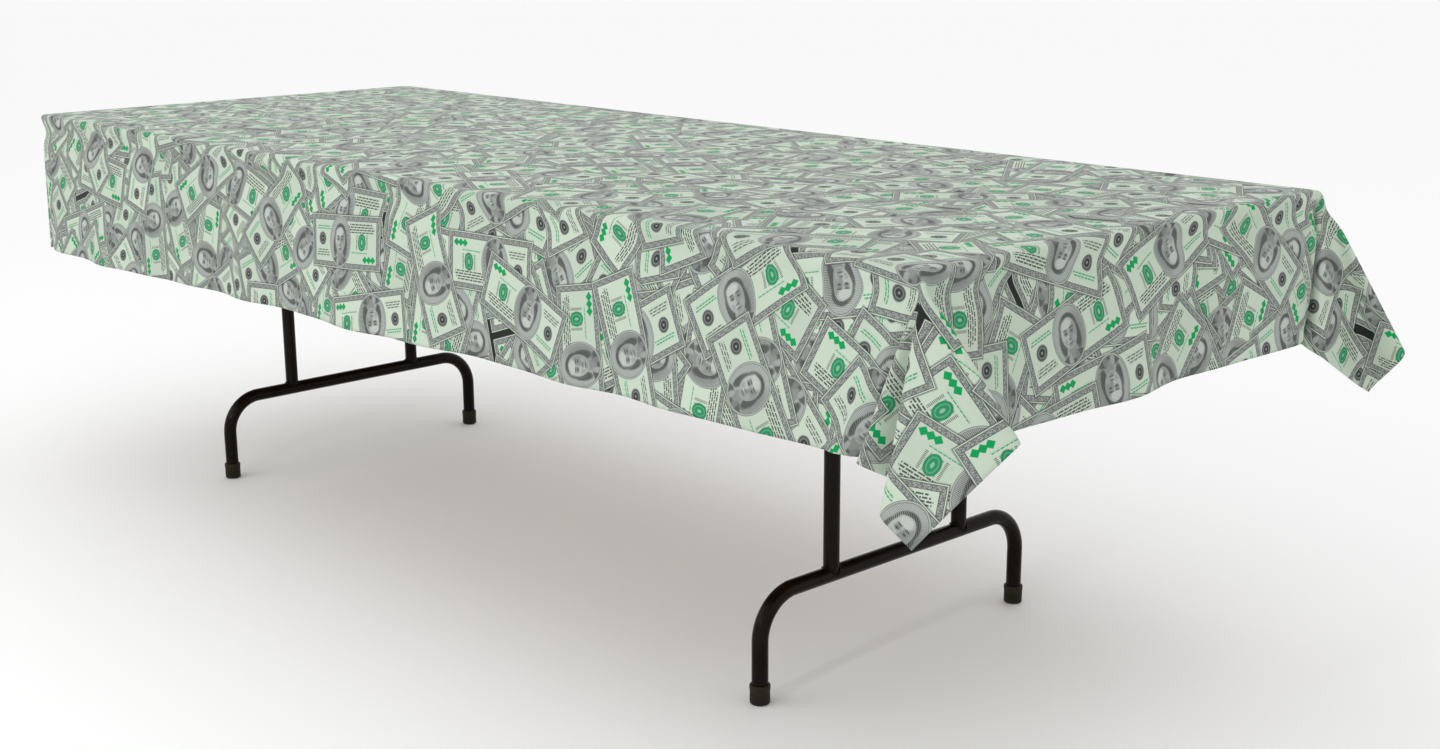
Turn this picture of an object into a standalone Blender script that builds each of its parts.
"""A folding banquet table with wishbone legs, under a draped rectangular plastic tablecloth.

Metres, +Z up. The origin is on the floor under the middle of the table, +X runs along the table
towards its near end and -Y is the front long side. The two leg sets fold inwards about axes along Y,
each with a two-link brace, and the tablecloth lifts straight off the top.
"""

import math

import bmesh
import bpy
from mathutils import Matrix, Vector

# ---- Driving dimensions ----

TABLE_LENGTH = 2.438
TABLE_WIDTH = 0.914
TABLE_HEIGHT = 0.737
CORNER_RADIUS = 0.025

CORE_THICKNESS = 0.019
LAMINATE_THICKNESS = 0.001
EDGE_THICKNESS = 0.003
EDGE_ROUNDING = 0.0025

RAIL_HEIGHT = 0.050
RAIL_FLANGE = 0.018
RAIL_WALL = 0.0015
RAIL_INSET = 0.045

LEG_TUBE_RADIUS = 0.0127
LEG_TUBE_WALL = 0.0012
LEG_INSET = 0.429
PIVOT_DEPTH = 0.039
PIVOT_REACH = 0.019
UPRIGHT_SPACING = 0.302
FOOT_SPACING = 0.606
FOOT_TUBE_HEIGHT = 0.166
FOOT_BEND_RADIUS = 0.070

CAP_WALL = 0.003
CAP_HEIGHT = 0.031
CAP_FLOOR = 0.006
CAP_ROUNDING = 0.003

PIVOT_BRACKET_WIDTH = 0.050
PIVOT_BRACKET_WALL = 0.0025
PIVOT_BRACKET_FLANGE = 0.026
PIVOT_BRACKET_MARGIN = 0.008
PIVOT_SCREW_SPACING = 0.036
PIVOT_SCREW_REACH = 0.0156

BRACE_DROP = 0.300
BRACE_RUN = 0.340
BRACE_OFFSET = 0.026
CROSSBAR_RADIUS = 0.0095
LINK_WIDTH = 0.016
LINK_THICKNESS = 0.003
LINK_SPACING = 0.013
EAR_THICKNESS = 0.0030
BRACKET_BASE = 0.002
BRACKET_LENGTH = 0.030
BRACKET_BASE_WIDTH = 0.056
BRACKET_SCREW_SPACING = 0.04032
PIN_RADIUS = 0.003
PIN_HEAD_RADIUS = 0.005
PIN_HEAD_HEIGHT = 0.0018

SCREW_RADIUS = 0.0020
SCREW_LENGTH = 0.014
SCREW_HEAD_RADIUS = 0.0042
SCREW_HEAD_HEIGHT = 0.0024

CLOTH_THICKNESS = 0.0010
CLOTH_ROUNDING = 0.008
CLOTH_STANDOFF = 0.005
CLOTH_SIDE_DROP = 0.275
CLOTH_END_DROP = 0.240
CLOTH_CORNER_DROP = 0.345
CLOTH_FLARE = 0.016
CLOTH_CORNER_FLARE = 0.088
CLOTH_CORNER_SPREAD = 0.095
CLOTH_CORNER_SLACK = 0.55

# Clearances: between pieces that touch, round a pin in its hole, round the leg pivots, beside a
# moving link, and round the hole of the lower link's knee, the brace's open pivot.
GAP = 0.0003
PIN_CLEARANCE = 0.0003
PIVOT_CLEARANCE = 0.0006
SIDE_CLEARANCE = 0.0005
KNEE_CLEARANCE = 0.0012

# How far a cutter runs past what it cuts: at a screw hole, and at a tube coped to another.
HOLE_SPARE = 0.002
COPE_SPARE = 0.010

# ---- Levels and places worked out from them ----

CORE_BOTTOM = TABLE_HEIGHT - LAMINATE_THICKNESS - GAP - CORE_THICKNESS
UNDERSIDE = CORE_BOTTOM - GAP
PIVOT_HEIGHT = CORE_BOTTOM - PIVOT_DEPTH
PIVOT_X = TABLE_LENGTH / 2 - LEG_INSET
RAIL_Y = TABLE_WIDTH / 2 - RAIL_INSET
RAIL_X = TABLE_LENGTH / 2 - RAIL_INSET
EAR_Y = RAIL_Y - RAIL_FLANGE - PIVOT_BRACKET_FLANGE - GAP
PIVOT_HALF_LENGTH = EAR_Y + PIVOT_REACH
KNEE_STRAIGHT = math.hypot(BRACE_RUN - BRACE_OFFSET, BRACE_DROP + BRACE_OFFSET)
UPPER_LINK = (KNEE_STRAIGHT + BRACE_RUN - BRACE_DROP) / 2
LOWER_LINK = (KNEE_STRAIGHT - BRACE_RUN + BRACE_DROP) / 2
BRACE_SLOPE = math.atan2(BRACE_DROP + BRACE_OFFSET, BRACE_RUN - BRACE_OFFSET)

COLOURS = {
    "board": ((0.42, 0.29, 0.17), 0.65, 0.0),
    "laminate": ((0.33, 0.24, 0.16), 0.35, 0.0),
    "moulding": ((0.05, 0.045, 0.04), 0.45, 0.0),
    "powder_coat": ((0.022, 0.014, 0.011), 0.32, 0.6),
    "zinc": ((0.55, 0.55, 0.53), 0.38, 1.0),
    "cap_plastic": ((0.16, 0.14, 0.075), 0.55, 0.0),
    "cloth_film": ((0.62, 0.68, 0.60), 0.40, 0.0),
}
ROUND_SIDES = 24
SMALL_SIDES = 12
CORNER_STEPS = 6
SMOOTH_ANGLE = math.radians(35)


# ---- Helpers ----


def clear_scene():
    for thing in list(bpy.data.objects):
        bpy.data.objects.remove(thing, do_unlink=True)


def node_material(name, kind):
    colour, roughness, metallic = COLOURS[kind]
    made = bpy.data.materials.new(name)
    made.use_nodes = True
    shader = made.node_tree.nodes["Principled BSDF"]
    shader.inputs["Base Color"].default_value = (*colour, 1.0)
    shader.inputs["Roughness"].default_value = roughness
    shader.inputs["Metallic"].default_value = metallic
    return made


def place(name, mesh, kind, location=(0, 0, 0), parent=None):
    """Links a mesh, given in its own frame, as one named node."""
    piece = bpy.data.objects.new(name, mesh)
    mesh.materials.append(node_material(name, kind))
    bpy.context.collection.objects.link(piece)
    piece.parent = parent
    piece.location = location
    return piece


def finish_mesh(name, bm):
    bmesh.ops.recalc_face_normals(bm, faces=bm.faces)
    mesh = bpy.data.meshes.new(name)
    bm.to_mesh(mesh)
    bm.free()
    mesh.shade_smooth()
    mesh.set_sharp_from_angle(angle=SMOOTH_ANGLE)
    return mesh


def skin_loops(name, loops, closed, film=False):
    """A solid from loops of points of one length: a ring if closed, else with a face on each end.

    A film's second half of loops runs back along its first, and both split their faces alike.
    """
    bm = bmesh.new()
    rows = [[bm.verts.new(point) for point in loop] for loop in loops]
    count = len(rows[0])
    following = rows[1:] + rows[:1] if closed else rows[1:]
    for k, (row, after) in enumerate(zip(rows, following, strict=False)):
        for i in range(count):
            j = (i + 1) % count
            corners = (row[i], row[j], after[j], after[i])
            bm.faces.new(corners[-1:] + corners[:-1] if film and 2 * k >= len(rows) else corners)
    if film:
        bmesh.ops.triangulate(bm, faces=bm.faces, quad_method="FIXED")
    if not closed:
        bm.faces.new(rows[0])
        bm.faces.new(rows[-1])
    return finish_mesh(name, bm)


def circle(radius, sides):
    steps = [math.tau * i / sides for i in range(sides)]
    return [(radius * math.cos(a), radius * math.sin(a)) for a in steps]


def sweep_tube(name, path, radius, wall, sides=ROUND_SIDES):
    """A hollow tube with open ends, along points in the YZ plane or along X."""
    loops = {radius: [], radius - wall: []}
    for i, point in enumerate(path):
        ahead = Vector(path[min(i + 1, len(path) - 1)])
        behind = Vector(path[max(i - 1, 0)])
        along = (ahead - behind).normalized()
        side = Vector((1, 0, 0)) if abs(along.x) < 0.9 else Vector((0, 1, 0))
        up = along.cross(side).normalized()
        for size, rows in loops.items():
            rows.append([Vector(point) + side * u + up * v for u, v in circle(size, sides)])
    outer, inner = loops.values()
    return skin_loops(name, outer + inner[::-1], closed=True)


def turn(name, profile, sides, axis="Z"):
    """A turned solid from (radius, height) pairs, with a flat face on both ends."""
    loops = [[(x, y, height) for x, y in circle(radius, sides)] for radius, height in profile]
    mesh = skin_loops(name, loops, closed=False)
    if axis == "Y":
        mesh.transform(Matrix.Rotation(-math.pi / 2, 4, "X"))
    return mesh


def extrude(name, outline, thickness, axis):
    """A prism with its outline's two coordinates across the axis, centred along it."""
    half = thickness / 2
    if axis == "X":
        loops = [[(x, u, v) for u, v in outline] for x in (-half, half)]
    elif axis == "Y":
        loops = [[(u, y, v) for u, v in outline] for y in (-half, half)]
    else:
        loops = [[(u, v, z) for u, v in outline] for z in (-half, half)]
    return skin_loops(name, loops, closed=False)


def stadium(length, width, steps=8):
    """The outline of a link from (0, 0) to (length, 0), with round ends on its two holes."""
    points = []
    for centre, start in ((length, -math.pi / 2), (0.0, math.pi / 2)):
        for i in range(steps + 1):
            angle = start + math.pi * i / steps
            points.append((centre + width / 2 * math.cos(angle), width / 2 * math.sin(angle)))
    return points


def rounded_rectangle(length, width, radius, steps=CORNER_STEPS):
    points = []
    for sx, sy, start in ((1, 1, 0), (-1, 1, 90), (-1, -1, 180), (1, -1, 270)):
        for i in range(steps + 1):
            angle = math.radians(start + 90 * i / steps)
            x = sx * (length / 2 - radius) + radius * math.cos(angle)
            y = sy * (width / 2 - radius) + radius * math.sin(angle)
            points.append((x, y))
    return points


def cut(piece, name, mesh, location, parent=None):
    """Cuts a piece with a cutter that the build leaves out."""
    cutter = bpy.data.objects.new(name, mesh)
    bpy.context.collection.objects.link(cutter)
    cutter.parent = parent
    cutter.location = location
    cutter.hide_render = True
    cutter.display_type = "WIRE"
    tool = piece.modifiers.new(name, "BOOLEAN")
    tool.operation = "DIFFERENCE"
    tool.solver = "EXACT"
    tool.object = cutter


def drill(piece, name, location, radius, length, axis, parent=None, sides=SMALL_SIDES):
    half = length / 2
    mesh = turn(name, [(radius, -half), (radius, half)], sides)
    if axis == "Y":
        mesh.transform(Matrix.Rotation(math.pi / 2, 4, "X"))
    cut(piece, name, mesh, location, parent)


def empty(name, location, parent=None):
    made = bpy.data.objects.new(name, None)
    bpy.context.collection.objects.link(made)
    made.parent = parent
    made.location = location
    return made


# ---- Table top ----


def build_top():
    """The board, its laminate and the moulding round its edge. Returns the board, to be drilled."""
    inset = EDGE_THICKNESS + GAP
    length, width = TABLE_LENGTH - 2 * inset, TABLE_WIDTH - 2 * inset
    outline = rounded_rectangle(length, width, CORNER_RADIUS - inset)
    core_middle = CORE_BOTTOM + CORE_THICKNESS / 2
    core = place(
        "table_top_core",
        extrude("table_top_core", outline, CORE_THICKNESS, "Z"),
        "board",
        (0, 0, core_middle),
    )
    laminate_middle = TABLE_HEIGHT - LAMINATE_THICKNESS / 2
    place(
        "top_laminate",
        extrude("top_laminate", outline, LAMINATE_THICKNESS, "Z"),
        "laminate",
        (0, 0, laminate_middle),
    )

    section = [(EDGE_THICKNESS, TABLE_HEIGHT), (EDGE_THICKNESS, CORE_BOTTOM)]
    for height, start in ((CORE_BOTTOM + EDGE_ROUNDING, 270), (TABLE_HEIGHT - EDGE_ROUNDING, 0)):
        for i in range(4):
            angle = math.radians(start + 30 * i)
            inset = EDGE_ROUNDING * (1 - math.cos(angle))
            section.append((inset, height + EDGE_ROUNDING * math.sin(angle)))
    loops = []
    for inset, z in section:
        size = (TABLE_LENGTH - 2 * inset, TABLE_WIDTH - 2 * inset, CORNER_RADIUS - inset)
        loops.append([(x, y, z) for x, y in rounded_rectangle(*size)])
    place("edge_moulding", skin_loops("edge_moulding", loops, closed=True), "moulding")
    return core


def channel_outline(side):
    """A C channel, with its web at 0 and its flanges towards -side, hung under the board."""
    top, bottom = UNDERSIDE, UNDERSIDE - RAIL_HEIGHT
    reach, wall = -side * RAIL_FLANGE, -side * RAIL_WALL
    return [
        (0, bottom), (0, top), (reach, top), (reach, top - RAIL_WALL),
        (wall, top - RAIL_WALL), (wall, bottom + RAIL_WALL), (reach, bottom + RAIL_WALL),
        (reach, bottom),
    ]


def build_rails():
    for name, side in (("side_rail_front", -1), ("side_rail_back", 1)):
        length = 2 * (RAIL_X - RAIL_FLANGE - GAP)
        mesh = extrude(name, channel_outline(side), length, "X")
        place(name, mesh, "powder_coat", (0, side * RAIL_Y, 0))
    for name, side in (("end_rail_far", -1), ("end_rail_near", 1)):
        mesh = extrude(name, channel_outline(side), 2 * RAIL_Y, "Y")
        place(name, mesh, "powder_coat", (side * RAIL_X, 0, 0))


def build_screw(name, x, y, under, core, held):
    """A pan-head screw up through a fixing of this thickness into the board, with both its holes."""
    head = under - GAP
    profile = [
        (SCREW_HEAD_RADIUS * 0.7, head - SCREW_HEAD_HEIGHT),
        (SCREW_HEAD_RADIUS, head - SCREW_HEAD_HEIGHT * 0.5),
        (SCREW_HEAD_RADIUS, head),
        (SCREW_RADIUS, head),
        (SCREW_RADIUS, head + SCREW_LENGTH),
    ]
    place(name, turn(name, profile, SMALL_SIDES), "zinc", (x, y, 0))
    hole = SCREW_RADIUS + GAP
    depth = head + SCREW_LENGTH + GAP - CORE_BOTTOM
    middle = CORE_BOTTOM + (depth - HOLE_SPARE) / 2
    drill(core, f"{name}_pilot", (x, y, middle), hole, depth + HOLE_SPARE, "Z")
    drill(held, f"{name}_hole", (x, y, under), hole, 4 * HOLE_SPARE + 2 * BRACKET_BASE, "Z")


# ---- Leg sets ----


def foot_path():
    """The wishbone's centre line, down one foot, over the arch and down the other."""
    reach, base = FOOT_SPACING / 2, CAP_FLOOR + GAP - PIVOT_HEIGHT
    level = FOOT_TUBE_HEIGHT - PIVOT_HEIGHT
    points = [(0, -reach, base)]
    for side in (-1, 1):
        for i in range(9):
            angle = math.radians(90 * i / 8)
            turned = angle if side < 0 else math.pi / 2 - angle
            y = side * (reach - FOOT_BEND_RADIUS * (1 - math.cos(turned)))
            points.append((0, y, level - FOOT_BEND_RADIUS * (1 - math.sin(turned))))
    points.append((0, reach, base))
    return points


def build_leg_tubes(end, pivot):
    """The pivot tube, the two uprights, the crossbar and the wishbone foot tube of one leg set."""
    half = PIVOT_HALF_LENGTH
    radius, wall = LEG_TUBE_RADIUS, LEG_TUBE_WALL
    name = f"pivot_tube_{end}"
    place(name, sweep_tube(name, [(0, -half, 0), (0, half, 0)], radius, wall), "powder_coat",
          parent=pivot)
    level = FOOT_TUBE_HEIGHT - PIVOT_HEIGHT
    for side_name, side in (("front", -1), ("back", 1)):
        y = side * UPRIGHT_SPACING / 2
        name = f"upright_{end}_{side_name}"
        mesh = sweep_tube(name, [(0, y, level), (0, y, 0)], radius, wall)
        upright = place(name, mesh, "powder_coat", parent=pivot)
        for joint, z in (("foot", level), ("pivot", 0)):
            size = 2 * (radius + COPE_SPARE)
            drill(upright, f"{name}_{joint}_cope", (0, y, z), radius + GAP, size, "Y", pivot,
                  ROUND_SIDES)
    name = f"wishbone_foot_{end}"
    place(name, sweep_tube(name, foot_path(), radius, wall), "powder_coat", parent=pivot)

    name = f"brace_crossbar_{end}"
    reach = UPRIGHT_SPACING / 2
    path = [(0, -reach, -BRACE_DROP), (0, reach, -BRACE_DROP)]
    mesh = sweep_tube(name, path, CROSSBAR_RADIUS, wall, SMALL_SIDES)
    crossbar = place(name, mesh, "powder_coat", parent=pivot)
    for side_name, side in (("front", -1), ("back", 1)):
        place_at = (0, side * reach, -BRACE_DROP)
        size = 2 * (CROSSBAR_RADIUS + COPE_SPARE)
        drill(crossbar, f"{name}_{side_name}_cope", place_at, radius + GAP, size, "Z", pivot,
              ROUND_SIDES)


def build_caps(end, pivot):
    """The two moulded caps on the feet: a floor, a wall that grips the tube and a rounded rim."""
    bore = LEG_TUBE_RADIUS + GAP
    outer, rim = bore + CAP_WALL, min(CAP_ROUNDING, CAP_WALL) / 2
    profile = [
        (outer - CAP_ROUNDING, 0), (outer - CAP_ROUNDING * 0.3, CAP_ROUNDING * 0.3),
        (outer, CAP_ROUNDING), (outer, CAP_HEIGHT - rim), (outer - rim, CAP_HEIGHT),
        (bore, CAP_HEIGHT), (bore, CAP_FLOOR),
    ]
    for side_name, side in (("front", -1), ("back", 1)):
        name = f"foot_cap_{end}_{side_name}"
        mesh = turn(name, profile, ROUND_SIDES)
        place(name, mesh, "cap_plastic", (0, side * FOOT_SPACING / 2, -PIVOT_HEIGHT), pivot)


def build_pivot_brackets(end, sign, core):
    """The angle plates under the board whose ears the pivot tube turns in, with two screws each."""
    wall, low = PIVOT_BRACKET_WALL, LEG_TUBE_RADIUS + PIVOT_BRACKET_MARGIN
    for side_name, side in (("front", -1), ("back", 1)):
        name = f"pivot_bracket_{end}_{side_name}"
        bottom = PIVOT_HEIGHT - low
        reach = side * PIVOT_BRACKET_FLANGE
        outline = [
            (0, bottom), (0, UNDERSIDE), (reach, UNDERSIDE), (reach, UNDERSIDE - wall),
            (side * wall, UNDERSIDE - wall), (side * wall, bottom),
        ]
        mesh = extrude(name, outline, PIVOT_BRACKET_WIDTH, "X")
        x, y = sign * PIVOT_X, side * EAR_Y
        bracket = place(name, mesh, "zinc", (x, y, 0))
        hole = LEG_TUBE_RADIUS + PIVOT_CLEARANCE
        middle = (x, y + side * wall / 2, PIVOT_HEIGHT)
        drill(bracket, f"{name}_bore", middle, hole, 4 * wall, "Y", None, ROUND_SIDES)
        for screw_name, step in (("inner", -1), ("outer", 1)):
            at = (x + sign * step * PIVOT_SCREW_SPACING / 2, y + side * PIVOT_SCREW_REACH)
            build_screw(f"{name}_screw_{screw_name}", *at, UNDERSIDE - wall, core, bracket)


# ---- Braces ----


def pin_mesh(name, grip):
    """A headed pin along Y whose heads stand clear of both ends of what it holds."""
    half = grip / 2 + GAP
    heads = [(PIN_HEAD_RADIUS, half), (PIN_HEAD_RADIUS, half + PIN_HEAD_HEIGHT)]
    profile = [(r, -h) for r, h in reversed(heads)]
    profile += [(PIN_RADIUS, -half), (PIN_RADIUS, half), *heads]
    return turn(name, profile, SMALL_SIDES, "Y")


def build_link(name, length, pivot, slope, knee_hole):
    """A flat link from its pivot empty towards the knee, at this slope in the XZ plane."""
    mesh = extrude(name, stadium(length, LINK_WIDTH), LINK_THICKNESS, "Y")
    mesh.transform(Matrix.Rotation(-slope, 4, "Y"))
    link = place(name, mesh, "powder_coat", parent=pivot)
    knee = (length * math.cos(slope), 0, length * math.sin(slope))
    size = 3 * LINK_THICKNESS
    drill(link, f"{name}_pivot_hole", (0, 0, 0), PIN_RADIUS + PIN_CLEARANCE, size, "Y", pivot)
    drill(link, f"{name}_knee_hole", knee, knee_hole, size, "Y", pivot)
    return knee


def build_lug(end, sign, pivot):
    """The forked lug on the crossbar that holds the lower link, and its pin."""
    name = f"brace_lug_{end}"
    y = -LINK_SPACING / 2
    slot = LINK_THICKNESS / 2 + SIDE_CLEARANCE
    outer = slot + EAR_THICKNESS
    root = -sign * (CROSSBAR_RADIUS + GAP)
    floor = root - sign * BRACKET_BASE
    tip = -sign * (BRACE_OFFSET + PIN_RADIUS + PIN_CLEARANCE + BRACKET_BASE)
    outline = [
        (root, -outer), (tip, -outer), (tip, -slot), (floor, -slot),
        (floor, slot), (tip, slot), (tip, outer), (root, outer),
    ]
    mesh = extrude(name, outline, LINK_WIDTH, "Z")
    lug = place(name, mesh, "powder_coat", (0, y, -BRACE_DROP), pivot)
    at = (-sign * BRACE_OFFSET, y, -BRACE_DROP)
    drill(lug, f"{name}_bore", at, PIN_RADIUS + PIN_CLEARANCE, 4 * outer, "Y", pivot)
    name = f"brace_lug_pin_{end}"
    place(name, pin_mesh(name, 2 * outer), "zinc", at, pivot)


def build_brace_bracket(end, sign, core):
    """The bracket under the board that holds the upper link, its pin and its two screws."""
    name = f"brace_bracket_{end}"
    slot = LINK_THICKNESS / 2 + SIDE_CLEARANCE
    outer = slot + EAR_THICKNESS
    x, y = sign * (PIVOT_X - BRACE_RUN), LINK_SPACING / 2
    height = PIVOT_HEIGHT + BRACE_OFFSET
    bottom = height - PIN_RADIUS - PIN_CLEARANCE - EAR_THICKNESS
    floor, half = UNDERSIDE - BRACKET_BASE, BRACKET_BASE_WIDTH / 2
    outline = [
        (-half, UNDERSIDE), (-half, floor), (-outer, floor), (-outer, bottom), (-slot, bottom),
        (-slot, floor), (slot, floor), (slot, bottom), (outer, bottom), (outer, floor),
        (half, floor), (half, UNDERSIDE),
    ]
    mesh = extrude(name, outline, BRACKET_LENGTH, "X")
    bracket = place(name, mesh, "zinc", (x, y, 0))
    at = (x, y, height)
    drill(bracket, f"{name}_bore", at, PIN_RADIUS + PIN_CLEARANCE, 4 * outer, "Y")
    name = f"brace_bracket_pin_{end}"
    place(name, pin_mesh(name, 2 * outer), "zinc", at)
    for side_name, side in (("front", -1), ("back", 1)):
        screw_y = y + side * BRACKET_SCREW_SPACING / 2
        build_screw(f"brace_bracket_{end}_screw_{side_name}", x, screw_y, floor, core, bracket)


def build_leg_set(end, sign, core):
    """One leg set with its brace. The knee's pin is a stud in the upper link, short of the lower."""
    pivot = empty(f"pivot_{end}", (sign * PIVOT_X, 0, PIVOT_HEIGHT))
    build_leg_tubes(end, pivot)
    build_caps(end, pivot)
    build_pivot_brackets(end, sign, core)
    build_lug(end, sign, pivot)
    build_brace_bracket(end, sign, core)

    lug = empty(f"lug_{end}", (-sign * BRACE_OFFSET, -LINK_SPACING / 2, -BRACE_DROP), pivot)
    rising = BRACE_SLOPE if sign < 0 else math.pi - BRACE_SLOPE
    build_link(f"brace_lower_link_{end}", LOWER_LINK, lug, rising, PIN_RADIUS + KNEE_CLEARANCE)
    hanger = empty(
        f"hanger_{end}",
        (sign * (PIVOT_X - BRACE_RUN), LINK_SPACING / 2, PIVOT_HEIGHT + BRACE_OFFSET),
    )
    knee = build_link(
        f"brace_upper_link_{end}", UPPER_LINK, hanger, rising + math.pi, PIN_RADIUS + PIN_CLEARANCE
    )
    name = f"brace_knee_pin_{end}"
    place(name, pin_mesh(name, LINK_THICKNESS), "zinc", knee, hanger)


# ---- Tablecloth ----


def cloth_perimeter():
    """Points round the top's edge, each with its outward direction and distance from a corner."""
    half_x, half_y = TABLE_LENGTH / 2 - CORNER_RADIUS, TABLE_WIDTH / 2 - CORNER_RADIUS
    steps = (0.04, 0.08, 0.13, 0.19, 0.27)
    points = []
    for sx, sy, start in ((1, 1, 0), (-1, 1, 90), (-1, -1, 180), (1, -1, 270)):
        on_end = start % 180 == 0
        x, y = sx * half_x, sy * half_y
        first, last = (math.radians(start + angle) for angle in (0, 90))
        for step in reversed(steps):
            away = (0, -sy * step) if on_end else (-sx * step, 0)
            points.append((x + away[0], y + away[1], first, step))
        for i in range(CORNER_STEPS + 1):
            points.append((x, y, first + (last - first) * i / CORNER_STEPS, 0))
        for step in steps:
            away = (-sx * step, 0) if on_end else (0, -sy * step)
            points.append((x + away[0], y + away[1], last, step))
    return points


def cloth_row(share, depth):
    """One loop of the hanging skirt: its share of the way down, and its depth into the film."""
    loop = []
    for x, y, angle, away in cloth_perimeter():
        corner = math.exp(-((away / CLOTH_CORNER_SPREAD) ** 2))
        on_end = abs(math.cos(angle)) > abs(math.sin(angle))
        drop = CLOTH_END_DROP if on_end else CLOTH_SIDE_DROP
        ridge = corner * abs(math.sin(2 * angle))
        spread = CLOTH_FLARE * share**1.5 + CLOTH_CORNER_FLARE * share * corner
        slack = max(ridge, CLOTH_CORNER_SLACK * corner * corner)
        fall = drop + (CLOTH_CORNER_DROP - drop) * slack
        out = CORNER_RADIUS + CLOTH_STANDOFF - depth + spread
        z = TABLE_HEIGHT + GAP + CLOTH_THICKNESS - CLOTH_ROUNDING - (fall - CLOTH_ROUNDING) * share
        loop.append((x + out * math.cos(angle), y + out * math.sin(angle), z))
    return loop


def rounding_row(turned, depth):
    """One loop of the bend from the flat top into the skirt."""
    size = CLOTH_ROUNDING - depth
    loop = []
    for x, y, angle, _ in cloth_perimeter():
        out = CORNER_RADIUS + CLOTH_STANDOFF - CLOTH_ROUNDING + size * math.sin(turned)
        z = TABLE_HEIGHT + GAP + CLOTH_THICKNESS - CLOTH_ROUNDING + size * math.cos(turned)
        loop.append((x + out * math.cos(angle), y + out * math.sin(angle), z))
    return loop


def build_cloth():
    turns = [math.radians(angle) for angle in (0, 30, 60, 90)]
    shares = (0.25, 0.5, 0.75, 1.0)
    outer = [rounding_row(turned, 0) for turned in turns] + [cloth_row(s, 0) for s in shares]
    inner = [rounding_row(turned, CLOTH_THICKNESS) for turned in turns]
    inner += [cloth_row(share, CLOTH_THICKNESS) for share in shares]
    mesh = skin_loops("tablecloth", outer + inner[::-1], closed=False, film=True)
    place("tablecloth", mesh, "cloth_film")


def main():
    clear_scene()
    core = build_top()
    build_rails()
    for end, sign in (("near", 1), ("far", -1)):
        build_leg_set(end, sign, core)
    build_cloth()


main()
